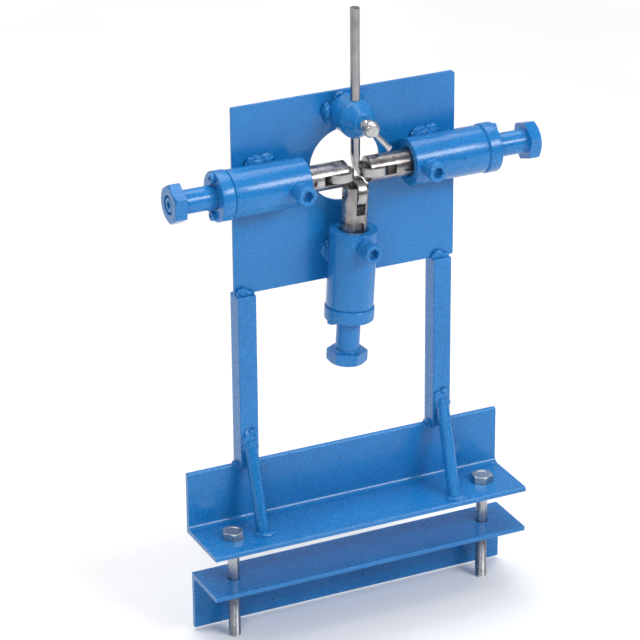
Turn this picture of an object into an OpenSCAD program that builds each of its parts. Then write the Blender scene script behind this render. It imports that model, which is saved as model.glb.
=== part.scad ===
// Table-edge cable and wire stripper: a welded steel frame clamped to a table top,
// three adjustable roller plungers around a nip, and an upright blade rod above it.
// Frame: +X right, +Y back, +Z up. The origin is on the underside of the upper angle
// iron, where it rests on the table, in line with the face plate's front.
// Lengths are in millimetres.

/* [Table clamp] */
// Length of both angle irons along X
angle_len = 292; // [240:1:340]
// Wall thickness of both angle irons
angle_t = 4.5; // [3:0.1:6]
// Height of the upper angle's standing leg, from the table
base_leg_h = 56; // [40:1:70]
// Front edge of the upper angle's flange, in front of the face plate
base_front = 54; // [40:1:70]
// Back face of the upper angle's leg, behind the face plate's front
base_back = 6.7; // [5:0.1:10]
// Gap between the upper and lower angle: the table's thickness
table_gap = 34; // [10:1:60]
// Depth of the lower angle's flange
clamp_depth = 52.2; // [40:0.1:70]
// Height of the lower angle's hanging leg, from its flange
clamp_leg_h = 52; // [40:1:70]
// Distance the lower angle's back sits in front of the face plate's front
clamp_back = 1.5; // [0:0.1:6]
// Radius of the rolled fillet inside both angles
fillet_r = 5.5; // [2:0.1:8]
// Distance of each clamp bolt from the middle
bolt_x = 118; // [100:1:135]
// Distance of the clamp bolts in front of the face plate
bolt_y = 26; // [15:1:40]
// Clamp bolt thread diameter, M10
bolt_d = 10; // [8:1:12]
// Clearance hole for a clamp bolt
bolt_hole_d = 11; // [10.5:0.1:14]
// Clamp bolt length under its head
bolt_len = 92.5; // [70:0.5:120]
// Hexagon across flats of the clamp bolts and nuts
bolt_af = 17; // [13:1:19]
// Height of a clamp bolt head
bolt_head_h = 6.4; // [5:0.1:8]
// Height of a clamp nut
nut_h = 8; // [6:0.1:10]

/* [Posts and face plate] */
// Width of each square-bar post along X
post_w = 16.5; // [12:0.5:25]
// Outer face of each post from the middle between the posts
post_out = 98.5; // [80:0.5:105]
// Distance the posts are set off to the left of the face plate's middle
post_shift = 2; // [0:0.1:4]
// Front face of the posts, in front of the face plate's front
post_front = 6.3; // [0:0.1:10]
// Height of the posts' tops above the table
post_top = 211; // [150:1:260]
// Diameter of the round brace bars
brace_d = 11; // [8:0.5:14]
// Height where a brace meets its post
brace_top = 78; // [65:1:110]
// Distance of the left brace's foot in front of the face plate
brace_foot_left = 30; // [18:1:46]
// Distance of the right brace's foot in front of the face plate
brace_foot_right = 43; // [18:1:46]
// Sideways lean of the right brace's foot, towards the middle
brace_skew = 6; // [0:0.5:15]
// Face plate width
plate_w = 202; // [160:1:240]
// Face plate height
plate_h = 163.5; // [120:0.5:200]
// Face plate thickness
plate_t = 3; // [2:0.1:5]
// Diameter of the feed hole behind the rollers
feed_d = 64; // [40:1:80]

/* [Roller units] */
// Height of the roller axes above the table
axis_z = 310; // [260:1:340]
// Distance of the roller axes in front of the face plate
axis_y = 19.5; // [18:0.1:24]
// Extra distance of the lower unit from the nip
lower_drop = 2.6; // [0:0.1:6]
// Lean of the lower unit: its outer end is towards the left
lower_lean = 3.3; // [0:0.1:5]
// Distance of the lower unit's inner end to the right of the middle
lower_shift = 1; // [0:0.1:2]
// Turn of the lower unit about its own axis, towards the right
lower_roll = 4; // [0:0.5:8]
// Distance from the nip to the rim of a side roller
rim_at = 2.5; // [1:0.1:6]
// Roller outside diameter, a 6000 bearing
roller_d = 26; // [19:0.1:35]
// Roller width
roller_w = 8; // [6:0.1:10]
// Roller bore and pin diameter
pin_d = 10; // [6:0.1:12]
// Plunger diameter
plunger_d = 22; // [18:0.1:25]
// Plunger length
plunger_len = 86; // [60:0.5:100]
// Slot that holds the roller
slot_w = 8.3; // [6:0.1:12]
// Slot depth behind the pin
slot_back = 17; // [14:0.5:24]
// Plunger nose beyond the pin
nose = 6; // [4:0.1:9]
// Keyway width in the plunger's front
key_w = 8; // [5:0.1:9]
// Keyway depth
key_depth = 3.5; // [2:0.1:5]
// Distance from the nip to a barrel's mouth
mouth_at = 47; // [40:1:60]
// Barrel length
barrel_len = 67; // [50:1:90]
// Barrel outside diameter
barrel_d = 40; // [32:0.5:50]
// End cap diameter
cap_d = 42; // [34:0.5:54]
// End cap thickness
cap_t = 12; // [8:0.5:16]
// Pitch circle of the end cap screws
cap_pcd = 32; // [26:0.5:40]
// Height of the end cap screws' heads
cap_head_h = 3.2; // [2:0.1:5]
// Pressure bolt thread diameter, M20
press_d = 20; // [12:1:20]
// Bare length of a pressure bolt between cap and head
press_gap = 29; // [10:0.5:45]
// Pressure bolt head across flats
press_af = 30; // [24:1:36]
// Pressure bolt head height
press_head = 10.5; // [8:0.5:16]
// Distance of the guide screw behind the barrel's mouth
guide_at = 11.5; // [8:0.5:20]
// Guide boss diameter and guide screw head diameter
guide_d = 16; // [13:0.5:20]
// Guide boss height on the barrel
guide_boss_h = 5; // [2:0.5:8]
// Guide screw head height
guide_head_h = 10; // [6:0.5:12]

/* [Blade] */
// Blade rod diameter
rod_d = 8; // [6:0.5:12]
// Blade rod length
rod_len = 139.2; // [100:0.1:180]
// Height of the blade's edge above the roller axes
tip_up = 0.8; // [0:0.1:4]
// Length of the ground bevels at the blade's tip
bevel_len = 16; // [8:0.5:24]
// Width of the blade's edge
edge_w = 0.4; // [0.2:0.1:1]
// Height of the blade collar's axis above the table
collar_z = 356; // [340:1:380]
// Collar diameter at the face plate
collar_d = 32; // [24:0.5:40]
// Collar nose diameter
collar_nose_d = 18; // [14:0.5:24]
// Depth of the collar's straight part
collar_straight = 25; // [15:0.5:30]
// Depth of the whole collar
collar_depth = 37; // [30:0.5:45]
// Tee screw thread diameter, M8
tee_d = 8; // [6:1:10]
// Tee screw head diameter
tee_head_d = 14; // [10:0.5:18]
// Tommy bar diameter
tommy_d = 4.5; // [3:0.1:6]
// Tommy bar length
tommy_len = 36.5; // [25:0.5:60]
// Lean of the tommy bar from upright
tommy_lean = 40.5; // [0:0.5:90]

/* [Hidden] */
$fn = 64;
// running clearance on the radius, and the small gap left at bolted and pinned joints
run = 0.05;
fix = 0.02;
steel = [0.62, 0.60, 0.57];
zinc = [0.80, 0.81, 0.82];
blue = [0.15, 0.42, 0.72];
roller_r = roller_d / 2;
pin_at = rim_at + roller_r;
nose_at = pin_at - nose;
rear_at = nose_at + plunger_len;
slot_at = pin_at + slot_back;
cap_at = mouth_at + barrel_len;
cap_end = cap_at + cap_t;
head_at = cap_end + press_gap;
head_end = head_at + press_head;
press_tip = rear_at + 0.1;
guide_t = mouth_at + guide_at;
guide_boss_r = barrel_d / 2 + guide_boss_h;
guide_head_r = guide_boss_r + guide_head_h;
plunger_r = plunger_d / 2;
bore_r = plunger_r + run;
key_floor = plunger_r - key_depth;
key_front = mouth_at - 8 + key_w / 2;
key_rear = guide_t + 1;
// sizes of the rolling bearing: race radii, ball size and ball count
race_out_r = 10.8;
race_in_r = 7.3;
ball_pcr = 9;
ball_r = 2.38;
ball_n = 7;
counter_d = 16;
counter_h = 8.5;
draw_d = 8;
draw_head_d = 13;
draw_head_h = 8;
draw_in = 15.5;
tee_y = collar_depth + 6;
tee_head_h = 10;
tip_z = axis_z + tip_up;
rod_top = tip_z + rod_len;
clamp_z = -table_gap;
tommy_knob = 3.2;
tommy_knob_t = 2.5;

// "all" shows the whole assembly, a name shows one part

// ---- shared shapes ----

// a rolled angle section: the corner is at the origin, its legs run along +X and +Y
module angle_section(leg_x, leg_y) {
    toe = 1.5;
    difference() {
        union() {
            square([leg_x, angle_t]);
            square([angle_t, leg_y]);
            translate([angle_t, angle_t])
                difference() {
                    square(fillet_r);
                    translate([fillet_r, fillet_r])
                        circle(fillet_r);
                }
        }
        translate([leg_x - toe, angle_t - toe])
            difference() {
                square(toe + 1);
                circle(toe);
            }
        translate([angle_t - toe, leg_y - toe])
            difference() {
                square(toe + 1);
                circle(toe);
            }
    }
}

// a hexagon across flats af, from z = 0 to h, with both or one end chamfered
module hex_head(af, h, both = false) {
    r = af / 2;
    corner = af / sqrt(3);
    cut = (corner - r * 0.97) * tan(30);
    low = both ? r * 0.97 : corner + 0.1;
    low_cut = both ? cut : 0.1;
    intersection() {
        cylinder(d = 2 * corner, h = h, $fn = 6);
        rotate_extrude()
            polygon([
                [0, 0],
                [low, 0],
                [corner + 0.1, low_cut],
                [corner + 0.1, h - cut],
                [r * 0.97, h],
                [0, h]
            ]);
    }
}

// a round bar along +Z with a small chamfer at both ends
module bar(r, h, c = 0.5) {
    rotate_extrude()
        polygon([
            [0, 0], [r - c, 0], [r, c],
            [r, h - c], [r - c, h], [0, h]
        ]);
}

// a tube along +Z
module tube(ro, ri, h) {
    difference() {
        cylinder(r = ro, h = h);
        translate([0, 0, -1])
            cylinder(r = ri, h = h + 2);
    }
}

// Roller units are drawn around the nip with their axis along -Z: z = -t is the
// distance t from the nip, and -Y is the front.
module place(side) {
    if (side == "left")
        translate([0, -axis_y, axis_z])
            rotate([0, 90, 0])
                children();
    if (side == "right")
        translate([0, -axis_y, axis_z])
            rotate([0, -90, 0])
                children();
    if (side == "lower")
        translate([lower_shift, -axis_y, axis_z - lower_drop])
            rotate([0, lower_lean, 0])
                rotate([0, 0, lower_roll])
                    children();
}

// turn of each pressure bolt's hexagon, and direction of each pair of cap screws
function hex_turn(side) = side == "left" ? 0 : side == "right" ? -11 : 30;

module cap_screw_spots() {
    for (a = [0, 180])
        rotate([0, 0, a])
            translate([cap_pcd / 2, 0, 0])
                children();
}

// ---- roller unit parts ----

module barrel(side) {
    place(side)
        difference() {
            translate([0, 0, -cap_at])
                cylinder(d = barrel_d, h = barrel_len);
            translate([0, 0, -cap_at - 1])
                cylinder(r = bore_r, h = barrel_len + 2);
            // chamfered mouth
            translate([0, 0, -mouth_at - 2])
                cylinder(r1 = bore_r, r2 = bore_r + 2.5, h = 2.5);
            // flat that is welded to the face plate
            rotate([0, 0, side == "lower" ? -lower_roll : 0])
                translate([-barrel_d, axis_y, -cap_at - 1])
                    cube([2 * barrel_d, barrel_d, barrel_len + 2]);
            // threaded hole for the guide screw
            translate([0, 0, -guide_t])
                rotate([90, 0, 0])
                    cylinder(r = 5 + fix, h = barrel_d);
            // threaded holes for the cap screws
            cap_screw_spots()
                translate([0, 0, -cap_at - 1])
                    cylinder(r = 2.5 + fix, h = 14);
        }
}

module cap(side) {
    place(side)
        translate([0, 0, -cap_end])
            difference() {
                rotate_extrude()
                    polygon([
                        [press_d / 2 + run, 0],
                        [cap_d / 2 - 1, 0],
                        [cap_d / 2, 1],
                        [cap_d / 2, cap_t - 1],
                        [cap_d / 2 - 1, cap_t],
                        [press_d / 2 + run, cap_t]
                    ]);
                cap_screw_spots()
                    translate([0, 0, -1])
                        cylinder(r = 2.5 + fix, h = cap_t + 2);
            }
}

module cap_screws(side) {
    place(side)
        cap_screw_spots()
            translate([0, 0, -cap_end])
                difference() {
                    union() {
                        translate([0, 0, -cap_head_h])
                            bar(4.25, cap_head_h, 0.4);
                        translate([0, 0, -1])
                            cylinder(r = 2.5, h = cap_t + 12);
                    }
                    translate([0, 0, -cap_head_h - 1])
                        cylinder(d = 4 / cos(30), h = cap_head_h, $fn = 6);
                }
}

module guide_boss(side) {
    place(side)
        translate([0, 0, -guide_t])
            rotate([90, 0, 0])
                difference() {
                    cylinder(d = guide_d, h = guide_boss_r);
                    translate([0, 0, -1])
                        cylinder(r = 5 + fix, h = guide_boss_r + 2);
                    rotate([90, 0, 0])
                        translate([0, 0, -guide_d])
                            cylinder(d = barrel_d, h = 2 * guide_d);
                }
}

module guide_screw(side) {
    place(side)
        translate([0, 0, -guide_t])
            rotate([90, 0, 0])
                difference() {
                    union() {
                        translate([0, 0, guide_boss_r])
                            bar(guide_d / 2, guide_head_h, 0.8);
                        translate([0, 0, plunger_r + 0.6])
                            cylinder(r = 5, h = guide_boss_r - plunger_r);
                        // dog point that runs in the plunger's keyway
                        translate([0, 0, key_floor + 0.5])
                            cylinder(r = key_w / 2 - 0.1, h = 6);
                    }
                    translate([0, 0, guide_head_r - 6])
                        cylinder(d = 8 / cos(30), h = 8, $fn = 6);
                }
}

module plunger(side) {
    place(side)
        difference() {
            translate([0, 0, -rear_at])
                bar(plunger_r, plunger_len, 1);
            // slot for the roller
            translate([-slot_w / 2, -plunger_d, -slot_at])
                cube([slot_w, 2 * plunger_d, slot_at]);
            // pin bore
            translate([-plunger_d, 0, -pin_at])
                rotate([0, 90, 0])
                    cylinder(r = pin_d / 2 + fix, h = 2 * plunger_d);
            // keyway in the front
            for (t = [key_front, key_rear])
                translate([0, -key_floor, -t])
                    rotate([90, 0, 0])
                        cylinder(d = key_w, h = key_depth + 2);
            translate([-key_w / 2, -plunger_r - 2, -key_rear])
                cube([key_w, key_depth + 2, key_rear - key_front]);
            // threaded hole for the draw screw
            translate([0, 0, -rear_at - 1])
                cylinder(r = draw_d / 2 + fix, h = draw_in + 3);
        }
}

module roller_pin(side) {
    place(side)
        translate([-(plunger_r - 1), 0, -pin_at])
            rotate([0, 90, 0])
                bar(pin_d / 2, 2 * (plunger_r - 1), 0.6);
}

module bearing_spot(side) {
    place(side)
        translate([-roller_w / 2, 0, -pin_at])
            rotate([0, 90, 0])
                children();
}

module inner_ring(side) {
    bearing_spot(side)
        difference() {
            tube(race_in_r, pin_d / 2 + fix, roller_w);
            translate([0, 0, roller_w / 2])
                rotate_extrude()
                    translate([ball_pcr, 0])
                        circle(ball_r + run);
        }
}

module outer_ring(side) {
    bearing_spot(side)
        difference() {
            rotate_extrude()
                polygon([
                    [race_out_r, 0],
                    [roller_r - 0.5, 0],
                    [roller_r, 0.5],
                    [roller_r, roller_w - 0.5],
                    [roller_r - 0.5, roller_w],
                    [race_out_r, roller_w]
                ]);
            translate([0, 0, roller_w / 2])
                rotate_extrude()
                    translate([ball_pcr, 0])
                        circle(ball_r + run);
        }
}

module shields(side) {
    bearing_spot(side)
        for (z = [0.4, roller_w - 0.7])
            translate([0, 0, z])
                tube(race_out_r, race_in_r + 0.25, 0.3);
}

module balls(side) {
    bearing_spot(side)
        translate([0, 0, roller_w / 2]) {
            for (i = [0:ball_n - 1])
                rotate([0, 0, i * 360 / ball_n])
                    translate([ball_pcr, 0, 0])
                        sphere(r = ball_r, $fn = 32);
            // ball cage
            translate([0, 0, -1.5])
                tube(ball_pcr + 0.4, ball_pcr - 0.4, 3);
        }
}

module draw_screw(side) {
    place(side)
        translate([0, 0, -head_end + counter_h - 0.1])
            difference() {
                union() {
                    translate([0, 0, -draw_head_h])
                        bar(draw_head_d / 2, draw_head_h, 0.6);
                    translate([0, 0, -1])
                        cylinder(d = draw_d, h = head_end - counter_h + 1.1 - rear_at + draw_in);
                }
                translate([0, 0, -draw_head_h - 1])
                    cylinder(d = 6 / cos(30), h = 5, $fn = 6);
            }
}

module pressure_bolt(side) {
    place(side)
        difference() {
            union() {
                translate([0, 0, -head_at])
                    rotate([0, 0, hex_turn(side)])
                        mirror([0, 0, 1])
                            hex_head(press_af, press_head);
                translate([0, 0, -head_at - 0.5])
                    bar(press_d / 2, head_at + 0.5 - press_tip, 0.4);
            }
            translate([0, 0, -head_end - 1])
                cylinder(d = 9, h = head_end + 1);
            translate([0, 0, -head_end - 1])
                cylinder(d = counter_d, h = counter_h + 1);
        }
}

// ---- frame ----

module base_angle() {
    color(blue)
        difference() {
            translate([-angle_len / 2, base_back, 0])
                rotate([90, 0, 90])
                    linear_extrude(angle_len)
                        mirror([1, 0, 0])
                            angle_section(base_front + base_back, base_leg_h);
            for (x = [-bolt_x, bolt_x])
                translate([x, -bolt_y, -1])
                    cylinder(d = bolt_hole_d, h = angle_t + 2);
        }
}

module post(side) {
    s = side == "left" ? -1 : 1;
    w = post_w;
    d = post_w;
    c = 0.8;
    color(blue)
        translate([s * (post_out - w / 2) - post_shift, d / 2 - post_front, base_leg_h])
            linear_extrude(post_top - base_leg_h)
                polygon([
                    [-w / 2 + c, -d / 2], [w / 2 - c, -d / 2], [w / 2, -d / 2 + c],
                    [w / 2, d / 2 - c], [w / 2 - c, d / 2], [-w / 2 + c, d / 2],
                    [-w / 2, d / 2 - c], [-w / 2, -d / 2 + c]
                ]);
}

module brace(side) {
    s = side == "left" ? -1 : 1;
    top_x = s * (post_out - post_w / 2) - post_shift;
    foot_x = top_x - (side == "left" ? 0 : brace_skew);
    foot_y = side == "left" ? -brace_foot_left : -brace_foot_right;
    run_x = top_x - foot_x;
    run_y = -post_front - 1 - foot_y;
    rise = brace_top - angle_t;
    lean = atan2(sqrt(run_x * run_x + run_y * run_y), rise);
    long = sqrt(run_x * run_x + run_y * run_y + rise * rise) + 12;
    color(blue)
        difference() {
            translate([foot_x, foot_y, angle_t])
                rotate([0, lean, atan2(run_y, run_x)])
                    translate([0, 0, -12])
                        cylinder(d = brace_d, h = long + 4);
            // cut flush on the flange and against the post
            translate([-angle_len, -2 * base_front, angle_t - 40])
                cube([2 * angle_len, 4 * base_front, 40]);
            translate([-angle_len, -post_front, 0])
                cube([2 * angle_len, 60, 2 * brace_top]);
        }
}

module mounting_plate() {
    c = 2;
    w = plate_w / 2;
    color(blue)
        translate([0, plate_t, post_top])
            rotate([90, 0, 0])
                linear_extrude(plate_t)
                    difference() {
                        polygon([
                            [-w + 1, 0], [w - 1, 0], [w, 1],
                            [w, plate_h - c], [w - c, plate_h],
                            [-w + 1, plate_h], [-w, plate_h - 1], [-w, 1]
                        ]);
                        translate([0, axis_z - post_top])
                            circle(d = feed_d);
                    }
}

module blade_collar() {
    color(blue)
        difference() {
            translate([0, 0, collar_z])
                rotate([90, 0, 0])
                    rotate_extrude()
                        polygon([
                            [0, 0],
                            [collar_d / 2, 0],
                            [collar_d / 2, collar_straight],
                            [collar_nose_d / 2, collar_depth - 3],
                            [collar_nose_d / 2, collar_depth - 0.6],
                            [collar_nose_d / 2 - 0.6, collar_depth],
                            [0, collar_depth]
                        ]);
            // hole for the blade rod
            translate([0, -axis_y, collar_z - collar_d])
                cylinder(r = rod_d / 2 + run, h = 2 * collar_d);
            // threaded hole for the tee screw
            translate([0, -axis_y, collar_z])
                rotate([90, 0, 0])
                    cylinder(r = tee_d / 2 + run, h = collar_depth);
        }
}

// ---- blade ----

module blade_rod() {
    r = rod_d / 2;
    color(steel)
        translate([0, -axis_y, tip_z])
            intersection() {
                rotate_extrude()
                    polygon([
                        [0, 0], [r, 0],
                        [r, rod_len - 0.5], [r - 0.5, rod_len], [0, rod_len]
                    ]);
                translate([0, rod_d, 0])
                    rotate([90, 0, 0])
                        linear_extrude(2 * rod_d)
                            polygon([
                                [-edge_w / 2, 0], [edge_w / 2, 0],
                                [r + 0.2, bevel_len], [r + 0.2, rod_len + 1],
                                [-r - 0.2, rod_len + 1], [-r - 0.2, bevel_len]
                            ]);
            }
}

module tee_screw() {
    tip = axis_y + rod_d / 2 + 0.05;
    color(zinc)
        difference() {
            translate([0, 0, collar_z])
                rotate([90, 0, 0]) {
                    translate([0, 0, tip])
                        bar(tee_d / 2, tee_y - tip + 1, 0.8);
                    translate([0, 0, tee_y])
                        bar(tee_head_d / 2, tee_head_h, 2);
                }
            tommy_place()
                translate([0, 0, -tee_head_d])
                    cylinder(r = tommy_d / 2 + run, h = 2 * tee_head_d);
        }
}

// the tommy bar's hole: its own +Z points up and to the left along the bar
module tommy_place() {
    translate([0, -tee_y - tee_head_h / 2, collar_z])
        rotate([0, -tommy_lean, 0])
            children();
}

module tommy_bar() {
    stop = tee_head_d / 2 + 0.1;
    color(zinc)
        tommy_place()
            translate([0, 0, stop + tommy_knob_t - tommy_len]) {
                cylinder(d = tommy_d, h = tommy_len);
                bar(tommy_knob, tommy_knob_t, 0.6);
                translate([0, 0, tommy_len - tommy_knob_t])
                    bar(tommy_knob, tommy_knob_t, 0.6);
            }
}

// ---- lower clamp ----

module clamp_angle() {
    color(blue)
        difference() {
            translate([-angle_len / 2, -clamp_back, clamp_z])
                rotate([90, 0, 90])
                    linear_extrude(angle_len)
                        mirror([1, 0, 0])
                            mirror([0, 1, 0])
                                angle_section(clamp_depth, clamp_leg_h);
            for (x = [-bolt_x, bolt_x])
                translate([x, -bolt_y, clamp_z - angle_t - 1])
                    cylinder(d = bolt_hole_d, h = angle_t + 2);
        }
}

module clamp_nut(side) {
    s = side == "left" ? -1 : 1;
    color(blue)
        translate([s * bolt_x, -bolt_y, clamp_z - angle_t - nut_h])
            difference() {
                rotate([0, 0, 30])
                    hex_head(bolt_af, nut_h, true);
                translate([0, 0, -1])
                    cylinder(r = bolt_d / 2 + run, h = nut_h + 2);
            }
}

module clamp_bolt(side) {
    s = side == "left" ? -1 : 1;
    color(zinc)
        translate([s * bolt_x, -bolt_y, angle_t]) {
            rotate([0, 0, side == "left" ? 12 : 24])
                hex_head(bolt_af, bolt_head_h);
            translate([0, 0, -bolt_len])
                bar(bolt_d / 2, bolt_len + 1, 1);
        }
}

base_angle();
post("left");  // post_left
post("right");  // post_right
brace("left");  // brace_left
brace("right");  // brace_right
mounting_plate();
color(blue) barrel("left");  // barrel_left
color(blue) barrel("right");  // barrel_right
color(blue) barrel("lower");  // barrel_lower
color(blue) cap("left");  // cap_left
color(blue) cap("right");  // cap_right
color(blue) cap("lower");  // cap_lower
color(blue) cap_screws("left");  // cap_screws_left
color(blue) cap_screws("right");  // cap_screws_right
color(blue) cap_screws("lower");  // cap_screws_lower
color(blue) guide_boss("left");  // guide_boss_left
color(blue) guide_boss("right");  // guide_boss_right
color(blue) guide_boss("lower");  // guide_boss_lower
color(blue) guide_screw("left");  // guide_screw_left
color(blue) guide_screw("right");  // guide_screw_right
color(blue) guide_screw("lower");  // guide_screw_lower
blade_collar();
color(steel) plunger("left");  // plunger_left
color(steel) plunger("right");  // plunger_right
color(steel) plunger("lower");  // plunger_lower
color(steel) roller_pin("left");  // roller_pin_left
color(steel) roller_pin("right");  // roller_pin_right
color(steel) roller_pin("lower");  // roller_pin_lower
color(steel) inner_ring("left");  // inner_ring_left
color(steel) inner_ring("right");  // inner_ring_right
color(steel) inner_ring("lower");  // inner_ring_lower
color(steel) outer_ring("left");  // outer_ring_left
color(steel) outer_ring("right");  // outer_ring_right
color(steel) outer_ring("lower");  // outer_ring_lower
color(steel) shields("left");  // shields_left
color(steel) shields("right");  // shields_right
color(steel) shields("lower");  // shields_lower
color(steel) balls("left");  // balls_left
color(steel) balls("right");  // balls_right
color(steel) balls("lower");  // balls_lower
color(blue) draw_screw("left");  // draw_screw_left
color(blue) draw_screw("right");  // draw_screw_right
color(blue) draw_screw("lower");  // draw_screw_lower
color(blue) pressure_bolt("left");  // pressure_bolt_left
color(blue) pressure_bolt("right");  // pressure_bolt_right
color(blue) pressure_bolt("lower");  // pressure_bolt_lower
blade_rod();
tee_screw();
tommy_bar();
clamp_angle();
clamp_nut("left");  // clamp_nut_left
clamp_nut("right");  // clamp_nut_right
clamp_bolt("left");  // clamp_bolt_left
clamp_bolt("right");  // clamp_bolt_right
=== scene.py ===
import math

import bmesh
import bpy
from mathutils import Matrix, Vector, noise


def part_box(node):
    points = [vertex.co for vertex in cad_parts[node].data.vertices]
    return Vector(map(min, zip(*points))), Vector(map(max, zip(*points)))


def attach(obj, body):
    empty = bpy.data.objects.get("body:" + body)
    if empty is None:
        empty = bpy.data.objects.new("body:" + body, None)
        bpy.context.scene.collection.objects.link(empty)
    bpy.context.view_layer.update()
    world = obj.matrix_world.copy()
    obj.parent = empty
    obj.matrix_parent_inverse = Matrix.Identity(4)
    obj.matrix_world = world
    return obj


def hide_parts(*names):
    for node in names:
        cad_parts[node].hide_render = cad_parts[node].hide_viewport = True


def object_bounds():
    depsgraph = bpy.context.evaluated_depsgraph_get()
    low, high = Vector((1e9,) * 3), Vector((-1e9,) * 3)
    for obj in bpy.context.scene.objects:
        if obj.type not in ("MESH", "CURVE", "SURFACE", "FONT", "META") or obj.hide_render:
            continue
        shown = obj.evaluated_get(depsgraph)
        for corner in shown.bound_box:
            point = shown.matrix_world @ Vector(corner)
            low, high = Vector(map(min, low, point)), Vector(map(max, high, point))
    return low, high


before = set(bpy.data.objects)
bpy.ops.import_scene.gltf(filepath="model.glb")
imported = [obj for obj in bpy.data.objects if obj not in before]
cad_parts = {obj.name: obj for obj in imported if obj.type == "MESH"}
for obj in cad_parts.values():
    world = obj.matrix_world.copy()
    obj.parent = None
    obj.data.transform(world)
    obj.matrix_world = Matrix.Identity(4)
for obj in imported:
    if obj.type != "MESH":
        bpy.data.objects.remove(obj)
cad_lo, cad_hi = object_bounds()

MM = 0.001
SIDES = ("left", "right", "lower")


def mm_box(node):
    lo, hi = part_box(node)
    return lo / MM, hi / MM


# ---------------------------------------------------------------- materials


class Nodes:
    """Short names for building one material's node tree."""

    def __init__(self, name):
        self.mat = bpy.data.materials.new(name)
        self.mat.use_nodes = True
        self.tree = self.mat.node_tree
        self.tree.nodes.clear()
        self.out = self.tree.nodes.new("ShaderNodeOutputMaterial")
        self.bsdf = self.tree.nodes.new("ShaderNodeBsdfPrincipled")
        self.link(self.bsdf.outputs[0], self.out.inputs[0])
        coord = self.tree.nodes.new("ShaderNodeTexCoord")
        self.at = coord.outputs["Object"]

    def link(self, a, b):
        self.tree.links.new(a, b)

    def noise(self, scale, detail=3, rough=0.5, stretch=None, distortion=0.0):
        n = self.tree.nodes.new("ShaderNodeTexNoise")
        n.inputs["Scale"].default_value = scale
        n.inputs["Detail"].default_value = detail
        n.inputs["Roughness"].default_value = rough
        n.inputs["Distortion"].default_value = distortion
        at = self.at
        if stretch:
            m = self.tree.nodes.new("ShaderNodeMapping")
            m.inputs["Scale"].default_value = stretch
            self.link(self.at, m.inputs["Vector"])
            at = m.outputs[0]
        self.link(at, n.inputs["Vector"])
        return n.outputs["Fac"]

    def wave(self, scale, direction, distortion=2.0):
        n = self.tree.nodes.new("ShaderNodeTexWave")
        n.wave_type = "BANDS"
        n.bands_direction = direction
        n.inputs["Scale"].default_value = scale
        n.inputs["Distortion"].default_value = distortion
        n.inputs["Detail"].default_value = 3
        self.link(self.at, n.inputs["Vector"])
        return n.outputs["Fac"]

    def ramp(self, fac, stops):
        n = self.tree.nodes.new("ShaderNodeValToRGB")
        els = n.color_ramp.elements
        while len(els) < len(stops):
            els.new(0.5)
        for e, (p, c) in zip(els, stops):
            e.position = p
            e.color = c if len(c) == 4 else (*c, 1)
        self.link(fac, n.inputs["Fac"])
        return n.outputs["Color"]

    def mix(self, fac, a, b):
        n = self.tree.nodes.new("ShaderNodeMix")
        n.data_type = "RGBA"
        for value, name in ((fac, "Factor"), (a, 6), (b, 7)):
            socket = n.inputs[name]
            if isinstance(value, (int, float)):
                socket.default_value = value
            elif isinstance(value, tuple):
                socket.default_value = (*value, 1)
            else:
                self.link(value, socket)
        return n.outputs[2]

    def math(self, how, a, b=0.0):
        n = self.tree.nodes.new("ShaderNodeMath")
        n.operation = how
        for value, socket in ((a, n.inputs[0]), (b, n.inputs[1])):
            if isinstance(value, (int, float)):
                socket.default_value = value
            else:
                self.link(value, socket)
        return n.outputs[0]

    def bump(self, height, strength, distance, after=None):
        n = self.tree.nodes.new("ShaderNodeBump")
        n.inputs["Strength"].default_value = strength
        n.inputs["Distance"].default_value = distance
        self.link(height, n.inputs["Height"])
        if after is not None:
            self.link(after, n.inputs["Normal"])
        return n.outputs[0]

    def set(self, **values):
        for name, value in values.items():
            socket = self.bsdf.inputs[name.replace("_", " ")]
            if isinstance(value, (int, float)):
                socket.default_value = value
            elif isinstance(value, tuple):
                socket.default_value = (*value, 1)
            else:
                self.link(value, socket)
        return self.mat


def enamel(name):
    """Glossy blue enamel over steel: soft orange peel, a fine mottle and slight colour drift."""
    n = Nodes(name)
    drift = n.noise(12, 3, 0.55)
    fine = n.noise(520, 4, 0.65)
    nib = n.noise(1300, 1, 0.5)
    pit = n.noise(210, 1, 0.4)
    base = n.ramp(drift, [(0.3, (0.005, 0.148, 0.425)), (0.7, (0.010, 0.190, 0.515))])
    light = n.ramp(fine, [(0.50, (0, 0, 0)), (0.72, (1, 1, 1))])
    dark = n.ramp(fine, [(0.30, (1, 1, 1)), (0.46, (0, 0, 0))])
    dots = n.ramp(nib, [(0.68, (0, 0, 0)), (0.73, (1, 1, 1))])
    pits = n.ramp(pit, [(0.225, (1, 1, 1)), (0.245, (0, 0, 0))])
    colour = n.mix(n.math("MULTIPLY", light, 0.45), base, (0.04, 0.31, 0.70))
    colour = n.mix(n.math("MULTIPLY", dark, 0.45), colour, (0.005, 0.10, 0.31))
    colour = n.mix(n.math("MULTIPLY", dots, 0.25), colour, (0.10, 0.36, 0.74))
    colour = n.mix(n.math("MULTIPLY", pits, 0.6), colour, (0.004, 0.03, 0.10))
    rough = n.math("ADD", n.math("MULTIPLY", fine, 0.20), 0.16)
    normal = n.bump(n.noise(560, 3, 0.55), 0.30, 0.0005)
    normal = n.bump(nib, 0.12, 0.0002, normal)
    return n.set(Base_Color=colour, Roughness=rough, Normal=normal,
                 Coat_Weight=0.22, Coat_Roughness=0.08, IOR=1.45, Specular_IOR_Level=0.40)


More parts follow.
